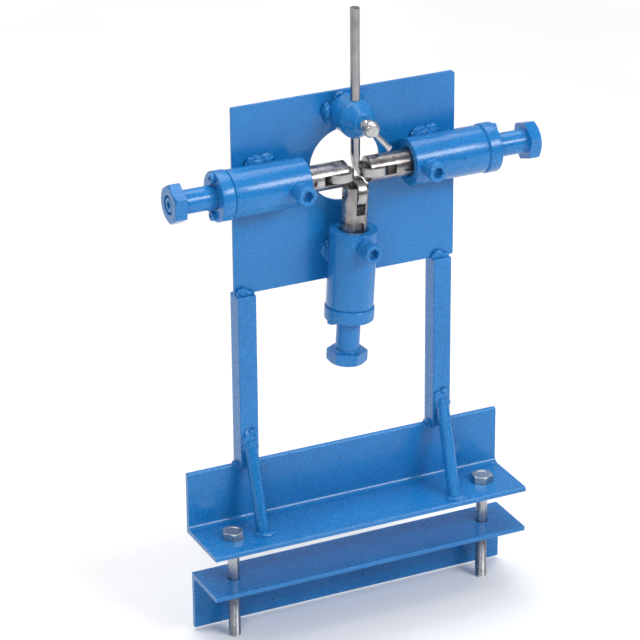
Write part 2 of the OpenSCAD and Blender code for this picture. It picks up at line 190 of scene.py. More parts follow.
def turned_steel(name, direction):
    """Bare turned steel: fine tool rings across the axis, brown oil stains and small rust freckles."""
    n = Nodes(name)
    rings = n.wave(900, direction, 1.5)
    stain = n.noise(55, 5, 0.6, distortion=0.4)
    freckle = n.noise(330, 3, 0.6)
    oily, worn, clean = (0.13, 0.115, 0.112), (0.34, 0.322, 0.322), (0.60, 0.575, 0.58)
    base = n.ramp(stain, [(0.32, oily), (0.48, worn), (0.70, clean)])
    rust = n.ramp(freckle, [(0.62, (0, 0, 0)), (0.74, (1, 1, 1))])
    colour = n.mix(n.math("MULTIPLY", rust, 0.6), base, (0.12, 0.085, 0.075))
    rough = n.math("ADD", n.math("MULTIPLY", stain, 0.20), 0.16)
    normal = n.bump(rings, 0.22, 0.00012)
    normal = n.bump(freckle, 0.12, 0.0002, normal)
    return n.set(Base_Color=colour, Roughness=rough, Normal=normal, Metallic=0.95)


def ground_steel(name, direction, tone=0.46, rough=0.16):
    """Ground bearing steel: clean, with faint fine lines."""
    n = Nodes(name)
    lines = n.wave(1400, direction, 0.8)
    smear = n.noise(70, 3, 0.5)
    dim = (tone * 0.72, tone * 0.71, tone * 0.71)
    bright = (tone, tone * 0.99, tone * 0.99)
    colour = n.ramp(smear, [(0.35, dim), (0.65, bright)])
    r = n.math("ADD", n.math("MULTIPLY", smear, 0.18), rough)
    return n.set(Base_Color=colour, Roughness=r, Normal=n.bump(lines, 0.10, 0.00005), Metallic=1.0)


def polished_steel(name):
    """Drawn and polished rod, with faint marks along its length."""
    n = Nodes(name)
    marks = n.noise(900, 2, 0.5, stretch=(1, 1, 0.02))
    dull = n.noise(60, 3, 0.5)
    colour = n.ramp(dull, [(0.3, (0.25, 0.24, 0.25)), (0.7, (0.37, 0.36, 0.375))])
    r = n.math("ADD", n.math("MULTIPLY", dull, 0.12), 0.10)
    return n.set(Base_Color=colour, Roughness=r, Normal=n.bump(marks, 0.12, 0.00006), Metallic=1.0)


def zinc_plate(name):
    """Bright zinc plate: pale, slightly mottled, softly bumped from tumbling."""
    n = Nodes(name)
    mottle = n.noise(220, 4, 0.6)
    dings = n.noise(700, 2, 0.5)
    colour = n.ramp(mottle, [(0.3, (0.40, 0.40, 0.405)), (0.7, (0.60, 0.605, 0.615))])
    r = n.math("ADD", n.math("MULTIPLY", mottle, 0.22), 0.26)
    return n.set(Base_Color=colour, Roughness=r, Normal=n.bump(dings, 0.18, 0.00015), Metallic=1.0)


BLUE = enamel("blue_enamel")
TURNED = {"left": turned_steel("turned_steel_x", "X"), "lower": turned_steel("turned_steel_z", "Z")}
TURNED["right"] = TURNED["left"]
GROUND = {"left": ground_steel("ground_steel_z", "Z"), "lower": ground_steel("ground_steel_x", "X")}
GROUND["right"] = GROUND["left"]
SHIELD = ground_steel("shield_steel", "Y", 0.16, 0.30)
POLISHED = polished_steel("polished_rod")
ZINC = zinc_plate("zinc_plate")

# ---------------------------------------------------------------- mesh tools


def make(name, bm, body, mat, place=None, replaces=(), bevel=0.0, angle=32, segs=2):
    """A bmesh in millimetres becomes a finished piece in metres that rides on a body."""
    if place is not None:
        bm.transform(place)
    bm.transform(Matrix.Scale(MM, 4))
    bmesh.ops.remove_doubles(bm, verts=bm.verts, dist=1e-7)
    bmesh.ops.recalc_face_normals(bm, faces=bm.faces)
    limit = math.radians(angle)
    for f in bm.faces:
        f.smooth = True
    if not bevel:
        for e in bm.edges:
            if len(e.link_faces) == 2 and e.calc_face_angle(0.0) > limit:
                e.smooth = False
    me = bpy.data.meshes.new(name)
    bm.to_mesh(me)
    bm.free()
    ob = bpy.data.objects.new(name, me)
    bpy.context.scene.collection.objects.link(ob)
    me.materials.append(mat)
    if bevel:
        m = ob.modifiers.new("edges", "BEVEL")
        m.width = bevel * MM
        m.segments = segs
        m.limit_method = "ANGLE"
        m.angle_limit = limit
        m.use_clamp_overlap = True
        w = ob.modifiers.new("normals", "WEIGHTED_NORMAL")
        w.keep_sharp = True
    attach(ob, body)
    if replaces:
        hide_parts(*replaces)
    return ob


def join(*parts):
    """Several bmeshes in one."""
    out = bmesh.new()
    for bm in parts:
        me = bpy.data.meshes.new("part")
        bm.to_mesh(me)
        out.from_mesh(me)
        bpy.data.meshes.remove(me)
        bm.free()
    return out


def boolean(a, b, how="DIFFERENCE"):
    """a cut by, joined with or limited to b, as a new bmesh."""
    obs = []
    for bm in (a, b):
        bmesh.ops.recalc_face_normals(bm, faces=bm.faces)
        me = bpy.data.meshes.new("tool")
        bm.to_mesh(me)
        bm.free()
        ob = bpy.data.objects.new("tool", me)
        bpy.context.scene.collection.objects.link(ob)
        obs.append(ob)
    mod = obs[0].modifiers.new("cut", "BOOLEAN")
    mod.object, mod.operation, mod.solver = obs[1], how, "EXACT"
    bpy.context.view_layer.update()
    dg = bpy.context.evaluated_depsgraph_get()
    out = bmesh.new()
    me = bpy.data.meshes.new_from_object(obs[0].evaluated_get(dg))
    out.from_mesh(me)
    bpy.data.meshes.remove(me)
    for ob in obs:
        me = ob.data
        bpy.data.objects.remove(ob)
        bpy.data.meshes.remove(me)
    bmesh.ops.remove_doubles(out, verts=out.verts, dist=1e-5)
    return out


def soften(points, radius, steps=3):
    """A polyline whose inner corners are rounded."""
    out = [points[0]]
    for a, b, c in zip(points, points[1:], points[2:]):
        a, b, c = Vector(a), Vector(b), Vector(c)
        r = min(radius, (a - b).length * 0.45, (c - b).length * 0.45)
        p = b + (a - b).normalized() * r
        q = b + (c - b).normalized() * r
        for i in range(steps + 1):
            t = i / steps
            out.append(tuple(p * (1 - t) ** 2 + b * 2 * t * (1 - t) + q * t * t))
    out.append(points[-1])
    return out


def lathe(profile, seg=64, loop=False, round_r=0.0):
    """A profile of (radius, height) turned about Z. A loop is a closed section, such as a tube's wall."""
    if round_r and loop:
        n = len(profile)
        mid = tuple((Vector(profile[0]) + Vector(profile[-1])) / 2)
        profile = soften([mid] + list(profile) + [mid], round_r)[:-1]
    elif round_r:
        profile = soften(list(profile), round_r)
    bm = bmesh.new()
    rings = []
    for r, z in profile:
        if r < 1e-6:
            rings.append([bm.verts.new((0, 0, z))])
        else:
            rings.append([bm.verts.new((x, y, z)) for x, y in circle(r, seg)])
    pairs = list(zip(rings, rings[1:]))
    if loop:
        pairs.append((rings[-1], rings[0]))
    for a, b in pairs:
        for i in range(seg):
            j = (i + 1) % seg
            if len(a) == 1 and len(b) == 1:
                continue
            if len(a) == 1:
                bm.faces.new((a[0], b[i], b[j]))
            elif len(b) == 1:
                bm.faces.new((a[i], b[0], a[j]))
            else:
                bm.faces.new((a[i], b[i], b[j], a[j]))
    return bm


def prism(points, z0, z1):
    """A polygon in XY pushed along Z."""
    bm = bmesh.new()
    low = [bm.verts.new((x, y, z0)) for x, y in points]
    high = [bm.verts.new((x, y, z1)) for x, y in points]
    n = len(points)
    for i in range(n):
        j = (i + 1) % n
        bm.faces.new((low[i], low[j], high[j], high[i]))
    bm.faces.new(list(reversed(low)))
    bm.faces.new(high)
    return bm


def block(x0, x1, y0, y1, z0, z1):
    return prism([(x0, y0), (x1, y0), (x1, y1), (x0, y1)], z0, z1)


def circle(r, seg, cx=0.0, cy=0.0, start=0.0):
    angles = [start + 2 * math.pi * i / seg for i in range(seg)]
    return [(cx + r * math.cos(a), cy + r * math.sin(a)) for a in angles]


def hexagon(af, turn=0.0):
    return circle(af / math.sqrt(3), 6, start=math.radians(turn))


def hex_head(af, h, turn=0.0, both=False):
    """A chamfered hexagon from z = 0 up to h."""
    corner = af / math.sqrt(3)
    flat = af / 2 * 0.96
    cut = (corner - flat) * math.tan(math.radians(30))
    prof = [(0, -0.01)]
    prof += [(flat, -0.01), (corner + 0.3, cut)] if both else [(corner + 0.3, -0.01)]
    prof += [(corner + 0.3, h - cut), (flat, h + 0.005), (0, h + 0.005)]
    return boolean(prism(hexagon(af, turn), 0, h), lathe(prof, 96), "INTERSECT")


def screw_thread(r, pitch, z0, z1, depth, seg=36, steps=8):
    """A rod whose surface carries a real helix between z0 and z1, faded at both ends."""
    bm = bmesh.new()
    n = max(2, int((z1 - z0) / pitch * steps))
    rings = []
    for k in range(n + 1):
        z = z0 + (z1 - z0) * k / n
        fade = min(1.0, (z - z0) / pitch, (z1 - z) / pitch)
        ring = []
        for i in range(seg):
            ph = (z / pitch - i / seg) % 1.0
            tri = abs(ph * 2 - 1)
            cut = min(1.0, max(0.0, tri * 1.25 - 0.12))
            rr = r - depth * cut * fade
            a = 2 * math.pi * i / seg
            ring.append(bm.verts.new((rr * math.cos(a), rr * math.sin(a), z)))
        rings.append(ring)
    for a, b in zip(rings, rings[1:]):
        for i in range(seg):
            j = (i + 1) % seg
            bm.faces.new((a[i], a[j], b[j], b[i]))
    bm.faces.new(list(reversed(rings[0])))
    bm.faces.new(rings[-1])
    return bm


def bumpy(v, scale, seed):
    return noise.noise(Vector(v) * scale + Vector((seed * 7.3, seed * 3.1, seed * 5.7)))


def weld_bead(path, radius, seed, ripple=2.4, squash=1.0):
    """A rippled weld bead along a path in millimetres, tapered at its ends."""
    pts = [Vector(p) for p in path]
    seglen = [(b - a).length for a, b in zip(pts, pts[1:])]
    total = sum(seglen)
    steps = max(6, int(total / 0.7))
    bm = bmesh.new()
    rings = []
    ring_n = 12
    up = Vector((0.3, 0.2, 0.93)).normalized()
    for k in range(steps + 1):
        s = total * k / steps
        left = s
        for i, L in enumerate(seglen):
            if left <= L or i == len(seglen) - 1:
                at = pts[i].lerp(pts[i + 1], min(1.0, left / L))
                tang = (pts[i + 1] - pts[i]).normalized()
                break
            left -= L
        side = tang.cross(up)
        if side.length < 0.1:
            side = tang.cross(Vector((1, 0, 0)))
        side.normalize()
        nrm = side.cross(tang).normalized()
        end = math.sin(math.pi * min(1.0, max(0.0, min(s, total - s) / (radius * 1.6))) / 2)
        saw = (s / ripple + 0.15 * bumpy(at, 0.4, seed)) % 1.0
        r = radius * (0.25 + 0.75 * end) * (0.90 + 0.16 * saw) * (1 + 0.16 * bumpy(at, 0.25, seed + 1))
        ring = []
        for i in range(ring_n):
            a = 2 * math.pi * i / ring_n
            off = side * math.cos(a) * r + nrm * math.sin(a) * r * squash
            p = at + off
            p = p + off.normalized() * 0.22 * radius * bumpy(p, 0.8, seed + 2)
            ring.append(bm.verts.new(p))
        rings.append(ring)
    for a, b in zip(rings, rings[1:]):
        for i in range(ring_n):
            j = (i + 1) % ring_n
            bm.faces.new((a[i], a[j], b[j], b[i]))
    bm.faces.new(list(reversed(rings[0])))
    bm.faces.new(rings[-1])
    return bm


def weld_blob(at, size, seed):
    """A lumpy patch of weld metal: a rounded mass with ridges where passes overlap."""
    bm = bmesh.new()
    bmesh.ops.create_icosphere(bm, subdivisions=4, radius=1.0)
    for v in bm.verts:
        p = v.co.copy()
        k = 1 + 0.20 * bumpy(p, 1.7, seed) + 0.08 * bumpy(p, 4.5, seed + 1)
        k += 0.05 * math.sin(p.x * 9 + 3 * bumpy(p, 1.2, seed + 2))
        v.co = Vector((p.x * size[0], p.y * size[1], p.z * size[2])) * k
    bm.transform(Matrix.Translation(at))
    return bm


# ---------------------------------------------------------------- frame

ang_lo, ang_hi = mm_box("base_angle")
cla_lo, cla_hi = mm_box("clamp_angle")
plate_lo, plate_hi = mm_box("mounting_plate")
ANGLE_T = 4.5
FILLET = 5.5
TOE_R = 1.6
HOLE_R = 5.5
bolt_lo, bolt_hi = mm_box("clamp_bolt_right")
BOLT_X = (bolt_lo.x + bolt_hi.x) / 2
BOLT_Y = (bolt_lo.y + bolt_hi.y) / 2


def angle_profile(depth, height, flip):
    """Section of a rolled angle: x is the distance from the leg's back towards the front."""
    t, r, toe = ANGLE_T, FILLET, TOE_R
    eighths = [math.pi / 8 * k for k in range(5)]
    sixteenths = [math.pi / 16 * k for k in range(9)]
    pts = [(0.35, 0), (depth - 0.4, 0), (depth, 0.5), (depth, t - toe)]
    pts += [(depth - toe + toe * math.cos(a), t - toe + toe * math.sin(a)) for a in eighths[1:]]
    pts += [(t + r - r * math.sin(a), t + r - r * math.cos(a)) for a in sixteenths]
    pts += [(t - toe + toe * math.cos(a), height - toe + toe * math.sin(a)) for a in eighths]
    pts += [(0.5, height), (0, height - 0.4), (0, 0.35)]
    return [(x, -y if flip else y) for x, y in pts]


def angle_iron(name, lo, hi, flip, mat, body):
    back = hi.y
    top = hi.z if flip else lo.z
    prof = angle_profile(hi.y - lo.y, hi.z - lo.z, flip)
    bm = prism(prof, lo.x, hi.x)
    # section x runs to the front (-Y), section y is up, and the push is along X
    bm.transform(Matrix(((0, 0, 1, 0), (-1, 0, 0, back), (0, 1, 0, top), (0, 0, 0, 1))))
    for s in (-1, 1):
        z = top - ANGLE_T - 3 if flip else top - 3
        bm = boolean(bm, prism(circle(HOLE_R, 48, s * BOLT_X, BOLT_Y), z, z + ANGLE_T + 6))
    node = name.replace("_iron", "")
    make(name, bm, body, mat, replaces=[node], bevel=0.35, angle=40)


angle_iron("base_angle_iron", ang_lo, ang_hi, False, BLUE, "frame")
angle_iron("clamp_angle_iron", cla_lo, cla_hi, True, BLUE, "clamp")

# face plate, sheared from sheet, with a slightly wavy flame-cut feed hole
BARREL_R = 20.0
AXIS_Y = mm_box("barrel_left")[0].y + BARREL_R
AXIS_Z = (mm_box("plunger_left")[0].z + mm_box("plunger_left")[1].z) / 2
FEED_R = 32.0
RIM_WAVE = 0.25
CROPPED_CORNER = 2.0


def plate():
    w0, w1, z0, z1 = plate_lo.x, plate_hi.x, plate_lo.z, plate_hi.z
    c = CROPPED_CORNER
    pts = [(w0 + 1, z0), (w1 - 1, z0), (w1, z0 + 1), (w1, z1 - c)]
    pts += [(w1 - c, z1), (w0 + 1, z1), (w0, z1 - 1), (w0, z0 + 1)]
    bm = prism(pts, -plate_hi.y, -plate_lo.y)
    rim = []
    for x, z in circle(1.0, 96):
        r = FEED_R - RIM_WAVE + RIM_WAVE * bumpy((x * 6, z * 6, 0), 1.0, 3)
        rim.append((r * x, AXIS_Z + r * z))
    bm = boolean(bm, prism(rim, -plate_hi.y - 3, -plate_lo.y + 3))
    bm.transform(Matrix(((1, 0, 0, 0), (0, 0, -1, 0), (0, 1, 0, 0), (0, 0, 0, 1))))
    make("face_plate", bm, "frame", BLUE, replaces=["mounting_plate"],
         bevel=0.4, angle=40)


plate()

BRACE_TOP = 78.0
BRACE_R = 5.5
BRACE_FOOT = {"left": (0.0, -30.0), "right": (-6.0, -43.0)}
for s, side in ((-1, "left"), (1, "right")):
    lo, hi = mm_box("post_" + side)
    bm = prism([(lo.x, lo.y), (hi.x, lo.y), (hi.x, hi.y), (lo.x, hi.y)], lo.z, hi.z)
    upright = [e for e in bm.edges if abs(e.verts[0].co.z - e.verts[1].co.z) > 1]
    bmesh.ops.subdivide_edges(bm, edges=upright, cuts=14)
    for v in bm.verts:
        v.co.x += 0.12 * bumpy((0, 0, v.co.z), 0.03, 5 + s)
    make("post_bar_" + side, bm, "frame", BLUE, replaces=["post_" + side],
         bevel=0.9, angle=50, segs=3)

    # brace: a round bar between the post's front and the flange, buried in weld at both ends
    cx = (lo.x + hi.x) / 2
    y0 = lo.y
    foot = Vector((cx + BRACE_FOOT[side][0], BRACE_FOOT[side][1], ANGLE_T))
    top = Vector((cx, y0 - 1.0, BRACE_TOP))
    d = (top - foot).normalized()
    long = (top - foot).length
    turn = d.to_track_quat("Z", "Y").to_matrix().to_4x4()
    bar = lathe([(0, -3), (BRACE_R, -3), (BRACE_R, long + 2), (0, long + 2)], 48)
    bar.transform(Matrix.Translation(foot) @ turn)
    make("brace_bar_" + side, bar, "frame", BLUE, replaces=["brace_" + side],
         angle=50)

    # weld metal: brace top and foot, post foot on the leg, plate corner on the post
    tops = join(
        weld_blob((cx - 0.8, y0 - 0.4, BRACE_TOP + 3.5), (7.2, 3.2, 8.6), 11 + s),
        weld_blob((cx + 0.6, y0 - 2.6, BRACE_TOP - 1.5), (5.6, 4.4, 6.6), 12 + s),
        weld_blob((cx - 4.2, y0 - 0.6, BRACE_TOP - 3), (3.2, 2.4, 4.4), 13 + s),
        weld_blob((cx + 1.8, y0 - 1.4, BRACE_TOP + 9.5), (4.0, 2.2, 3.6), 14 + s))
    make("weld_brace_top_" + side, tops, "frame", BLUE)
    f = foot
    feet = join(
        weld_bead([(f.x + 6.2 * math.cos(a), f.y + 6.6 * math.sin(a), ANGLE_T + 0.1)
                   for a in (math.pi * (0.9 + 1.2 * k / 12) for k in range(13))], 2.6, 21 + s, 3.2, 0.8),
        weld_blob((f.x + 2.0, f.y - 5.4, ANGLE_T + 0.2), (8.4, 3.6, 2.4), 23 + s),
        weld_blob((f.x - 4.5, f.y - 2.8, ANGLE_T + 0.1), (4.4, 3.4, 2.2), 25 + s))
    make("weld_brace_foot_" + side, feet, "frame", BLUE)
    leg_y = ang_hi.y - ANGLE_T
    feet = join(
        weld_blob((lo.x - 0.6, leg_y + 2.0, lo.z + 0.2), (3.4, 3.4, 2.6), 31 + s),
        weld_blob((lo.x + 3.0, leg_y - 0.2, lo.z - 2.0), (4.8, 2.4, 3.4), 33 + s),
        weld_blob((hi.x - 3.4, leg_y - 0.2, lo.z - 1.8), (4.6, 2.2, 3.0), 35 + s),
        weld_bead([(lo.x + 0.5, leg_y - 0.4, lo.z - 0.6), (hi.x - 0.5, leg_y - 0.4, lo.z - 0.6)],
                  2.2, 36 + s),
        weld_blob((hi.x + 0.6, leg_y + 2.0, lo.z + 0.2), (2.4, 3.0, 2.2), 37 + s),
        weld_bead([(lo.x + 1, ang_hi.y + 0.6, lo.z - 0.2), (hi.x - 1, ang_hi.y + 0.6, lo.z - 0.2)],
                  1.8, 38 + s))
    make("weld_post_foot_" + side, feet, "frame", BLUE)
    py = plate_lo.y
    pz = plate_lo.z
    tops = join(
        weld_blob((cx - 2.5, py - 1.6, pz + 2.2), (5.8, 2.6, 4.6), 41 + s),
        weld_blob((cx + 3.6, py - 1.6, pz + 0.6), (4.4, 2.6, 3.0), 43 + s),
        weld_blob((cx - 5.4, py - 1.0, pz + 0.2), (3.0, 2.4, 2.6), 44 + s),
        weld_bead([(lo.x + 2, plate_hi.y + 0.9, pz + 0.6), (hi.x - 2, plate_hi.y + 0.9, pz + 0.6)],
                  1.9, 45 + s))
    make("weld_plate_corner_" + side, tops, "frame", BLUE)

# ---------------------------------------------------------------- roller units

CAP_T = 12.0
CAP_HEAD = 3.2
RIM_T = -mm_box("outer_ring_left")[1].x
ROLLER_R = 13.0
PLUNGER_R = 11.0
PIN_R = 4.98
CAP_R = 20.95
CAP_BORE_R = 10.05
CAP_SCREW_R = 4.25
CAP_SCREW_AT = 16.0
GUIDE_R = 8.05
BOLT_AF = 30.0
BOLT_BORE_R = 4.5
BOLT_THREAD_R = 9.95
MOUTH_T = -mm_box("barrel_left")[1].x
CAP_AT = -mm_box("barrel_left")[0].x
CAP_END = CAP_AT + CAP_T
HEAD_END = -mm_box("pressure_bolt_left")[0].x
HEAD_H = 10.5
HEAD_AT = HEAD_END - HEAD_H
COUNTER_H = 8.5
NOSE_T = -mm_box("plunger_left")[1].x
REAR_T = -mm_box("plunger_left")[0].x
PIN_T = RIM_T + ROLLER_R
GUIDE_T = MOUTH_T + 11.5
# ball circle of the bearing, and a groove a little wider than its 4.76 mm balls
BALL_CIRCLE_R = 9.0
GROOVE_R = 2.42
RACE_IN_R = 7.3
RACE_OUT_R = 10.8
# the lower unit's own small offsets, lean and roll
LOWER_SHIFT, LOWER_DROP, LOWER_LEAN, LOWER_ROLL = 1.0, 2.6, 3.3, 4.0
HEX_TURN = {"left": 0, "right": -11, "lower": 30}
PLACE = {
    "left": Matrix.Translation((0, AXIS_Y, AXIS_Z)) @ Matrix.Rotation(math.radians(90), 4, "Y"),
    "right": Matrix.Translation((0, AXIS_Y, AXIS_Z)) @ Matrix.Rotation(math.radians(-90), 4, "Y"),
    "lower": Matrix.Translation((LOWER_SHIFT, AXIS_Y, AXIS_Z - LOWER_DROP))
    @ Matrix.Rotation(math.radians(LOWER_LEAN), 4, "Y") @ Matrix.Rotation(math.radians(LOWER_ROLL), 4, "Z"),
}
FRONT = Matrix.Rotation(math.radians(90), 4, "X")  # turns +Z to the front, -Y


def down(profile):
    """(radius, distance from the nip) to (radius, height) of a unit that runs along -Z."""
    return [(r, -t) for r, t in profile]


def barrel(side):
    pl = PLACE[side]
    bore = PLUNGER_R + 0.05
    bm = lathe(down([(13.2, MOUTH_T), (BARREL_R, MOUTH_T), (BARREL_R, CAP_AT), (bore, CAP_AT),
                     (bore, MOUTH_T + 2.2)]), 96, loop=True, round_r=0.7)
    make("barrel_body_" + side, bm, "frame", BLUE, pl, ["barrel_" + side], angle=48)
    cap = lathe(down([(CAP_BORE_R, CAP_AT + 0.15), (19.4, CAP_AT + 0.15), (20.2, CAP_AT + 0.9),
                      (CAP_R, CAP_AT + 1.6), (CAP_R, CAP_END - 0.2), (19.6, CAP_END),
                      (10.9, CAP_END), (CAP_BORE_R, CAP_END - 0.9)]), 96, loop=True, round_r=0.5)
    make("end_cap_" + side, cap, "frame", BLUE, pl, ["cap_" + side], angle=48)
    heads = []
    for a in (0, math.pi):
        end = 0.02 - CAP_HEAD
        h = lathe([(0, 0.2), (CAP_SCREW_R, 0.2), (CAP_SCREW_R, 0.4 - CAP_HEAD), (3.8, end), (0, end)],
                  40, round_r=0.35)
        h = boolean(h, prism(hexagon(4, 15), -6, 1.2 - CAP_HEAD))
        h.transform(Matrix.Translation((CAP_SCREW_AT * math.cos(a), 0, -CAP_END)))
        heads.append(h)
    make("cap_screw_heads_" + side, join(*heads), "frame", BLUE, pl,
         ["cap_screws_" + side], angle=40)


def guide(side):
    pl = PLACE[side] @ Matrix.Translation((0, 0, -GUIDE_T)) @ FRONT
    boss = lathe([(0, 15), (GUIDE_R, 15), (GUIDE_R, 24.2), (7.7, 24.9), (0, 24.9)], 64, round_r=0.3)
    make("guide_boss_body_" + side, boss, "frame", BLUE, pl,
         ["guide_boss_" + side], angle=45)
    teeth = 120
    h = lathe([(0, 25), (7.5, 25), (GUIDE_R, 25.6), (GUIDE_R, 33.6), (7.75, 34.5), (7.2, 34.98),
               (0, 34.98)], teeth)
    # the head's side is knurled: every other column of points stands out a little
    for v in h.verts:
        r = v.co.xy.length
        if r > 8.0:
            a = math.atan2(v.co.y, v.co.x)
            k = 1 + (0.010 if round(a / (2 * math.pi) * teeth) % 2 else -0.016)
            v.co.x *= k
            v.co.y *= k
    h = boolean(h, prism(hexagon(8, 20), 29.2, 40))
    h = boolean(h, lathe([(0, 34.2), (4.3, 34.2), (5.2, 35.1), (0, 35.1)], 48))
    dog = lathe([(0, 8.0), (3.4, 8.0), (3.9, 8.5), (3.9, 11.4), (4.9, 11.8), (4.9, 26), (0, 26)], 32)
    make("guide_screw_body_" + side, join(h, dog), "frame", BLUE, pl,
         ["guide_screw_" + side], angle=30)


def plunger(side):
    pl = PLACE[side]
    r = PLUNGER_R
    bm = lathe(down([(0, NOSE_T), (r - 0.7, NOSE_T), (r, NOSE_T + 0.7), (r, REAR_T - 1),
                     (r - 1, REAR_T), (0, REAR_T)]), 96)
    bm = boolean(bm, block(-4.15, 4.15, -20, 20, -(PIN_T + 17), 0))
    pin = prism(circle(5.02, 48), -20, 20)
    pin.transform(Matrix.Translation((0, 0, -PIN_T)) @ Matrix.Rotation(math.radians(90), 4, "Y"))
    bm = boolean(bm, pin)
    t0, t1 = MOUTH_T - 8 + 4, GUIDE_T + 1
    steps = [math.pi * k / 16 for k in range(17)]
    keyway = [(4 * math.cos(a), 4 * math.sin(a) - t0) for a in steps]
    keyway += [(4 * math.cos(math.pi + a), 4 * math.sin(math.pi + a) - t1) for a in steps]
    key = prism(keyway, 7.5, 15)
    # the section is drawn in XZ and cut into the front
    key.transform(Matrix(((1, 0, 0, 0), (0, 0, -1, 0), (0, 1, 0, 0), (0, 0, 0, 1))))
    bm = boolean(bm, key)
    make("plunger_body_" + side, bm, "plunger_" + side, TURNED[side], pl,
         ["plunger_" + side], bevel=0.28, angle=35)
    # the pin's centre-drilled end faces up on the side units
    pin = lathe([(0, -9.6), (4.5, -9.6), (PIN_R, -9.1), (PIN_R, 9.1), (4.5, 9.6), (1.4, 9.6), (0, 8.9)],
                48, round_r=0.2)
    turn = math.radians(-90 if side == "left" else 90)
    across = pl @ Matrix.Translation((0, 0, -PIN_T)) @ Matrix.Rotation(turn, 4, "Y")
    make("pin_body_" + side, pin, "plunger_" + side, TURNED[side], across,
         ["roller_pin_" + side], angle=40)


def groove(side_sign, wall_r):
    """Ball groove in a race: points (radius, height) on an arc about the ball circle, from low to high."""
    reach = math.sqrt(GROOVE_R ** 2 - (BALL_CIRCLE_R - wall_r) ** 2)
    heights = [reach * (k / 6 - 1) for k in range(13)]
    return [(BALL_CIRCLE_R + side_sign * math.sqrt(GROOVE_R ** 2 - z * z), z) for z in heights]


def roller(side):
    pl = PLACE[side] @ Matrix.Translation((0, 0, -PIN_T)) @ Matrix.Rotation(math.radians(90), 4, "Y")
    h = 4.0
    wall, rim = RACE_OUT_R, ROLLER_R
    outer = lathe([(wall, -h + 0.15), (11.9, -h), (12.45, -h), (rim, -h + 0.6), (rim, h - 0.6),
                   (12.45, h), (11.9, h), (wall, h - 0.15), (wall, h - 0.9),
                   *reversed(groove(1, wall)), (wall, -h + 0.9)], 96, loop=True)
    make("roller_ring_" + side, outer, "roller_" + side, GROUND[side], pl,
         ["outer_ring_" + side], angle=25)
    disc = []
    for s in (-1, 1):
        d = lathe([(10.85, s * (h - 0.55)), (10.3, s * (h - 0.35)), (9.6, s * (h - 0.62)),
                   (8.2, s * (h - 0.62)), (7.6, s * (h - 0.4)), (7.6, s * (h - 0.7)),
                   (10.8, s * (h - 0.9))], 72, loop=True)
        disc.append(d)
    make("roller_shields_" + side, join(*disc), "roller_" + side, SHIELD, pl,
         ["shields_" + side], angle=30)
    wall, bore = RACE_IN_R, PIN_R + 0.05
    inner = lathe([(bore, -h + 0.3), (5.3, -h), (7.0, -h), (wall, -h + 0.3), *groove(-1, wall),
                   (wall, h - 0.3), (7.0, h), (5.3, h), (bore, h - 0.3)], 64, loop=True)
    make("race_ring_" + side, inner, "plunger_" + side, GROUND[side], pl,
         ["inner_ring_" + side], angle=25)


def pressure_bolt(side):
    pl = PLACE[side]
    head = hex_head(BOLT_AF, HEAD_H, HEX_TURN[side])
    head.transform(Matrix.Translation((0, 0, -HEAD_AT)) @ Matrix.Diagonal((1, 1, -1, 1)))
    bmesh.ops.reverse_faces(head, faces=head.faces)
    outside, bottom = -HEAD_END - 2, -HEAD_END + COUNTER_H
    recess = lathe([(0, outside), (8, outside), (8, bottom), (0, bottom)], 64)
    head = boolean(head, recess)
    head = boolean(head, prism(circle(BOLT_BORE_R, 40), outside, -HEAD_AT + 3))
    neck = lathe(down([(BOLT_BORE_R, CAP_END + 1.5), (10, CAP_END + 1.5), (10, HEAD_AT - 1.2),
                       (10.6, HEAD_AT - 0.4), (12.4, HEAD_AT + 0.1), (BOLT_BORE_R, HEAD_AT + 0.1)]),
                 72, loop=True, round_r=0.3)
    make("pressure_bolt_head_" + side, head, "bolt_" + side, BLUE, pl,
         ["pressure_bolt_" + side], bevel=0.5, angle=28, segs=3)
    make("pressure_bolt_neck_" + side, neck, "bolt_" + side, BLUE, pl, angle=45)
    shank = screw_thread(BOLT_THREAD_R, 2.5, -(CAP_END + 1.8), -(REAR_T + 0.15), 1.25, 48, 8)
    make("pressure_bolt_thread_" + side, shank, "bolt_" + side, BLUE, pl, angle=60)
    draw = lathe([(0, 0), (6.5, 0), (6.5, -7.4), (5.9, -7.98), (0, -7.98)], 48, round_r=0.35)
    draw = boolean(draw, prism(hexagon(6, 10), -9, -4))
    draw.transform(Matrix.Translation((0, 0, -(HEAD_END - COUNTER_H + 0.1))))
    make("draw_screw_head_" + side, draw, "plunger_" + side, BLUE, pl,
         ["draw_screw_" + side], bevel=0.2, angle=40)


for side in SIDES:
    barrel(side)
    guide(side)
    plunger(side)
    roller(side)
    pressure_bolt(side)
    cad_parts["balls_" + side].data.materials.clear()
    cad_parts["balls_" + side].data.materials.append(GROUND[side])

# welds that hold the barrels to the plate
WELD_Y = plate_lo.y - 2.4
for s, side, mid_t in ((-1, "left", MOUTH_T + 31), (1, "right", MOUTH_T + 25)):
    x = s * mid_t
    top = join(
        weld_bead([(x - 12.5, plate_lo.y - 2.6, AXIS_Z + 14.6), (x - 4, plate_lo.y - 3.0, AXIS_Z + 16.4),
                   (x + 12.5, plate_lo.y - 3.0, AXIS_Z + 17.6)], 4.6, 63 + s, 3.6, 0.85),
        weld_blob((x - 2.5, plate_lo.y - 2.0, AXIS_Z + 17.0), (9.5, 3.0, 4.6), 61 + s),
        weld_blob((x + 6.0, plate_lo.y - 1.8, AXIS_Z + 18.2), (6.6, 2.8, 4.2), 62 + s))
    make("weld_barrel_top_" + side, top, "frame", BLUE)
    low = join(
        weld_bead([(x - 10, WELD_Y, AXIS_Z - 14.4), (x + 10, WELD_Y, AXIS_Z - 14.4)], 3.4, 65 + s, 3.4),
        weld_blob((x + 1, plate_lo.y - 2.2, AXIS_Z - 15.6), (7.5, 3.2, 4.0), 66 + s))
    make("weld_barrel_low_" + side, low, "frame", BLUE)
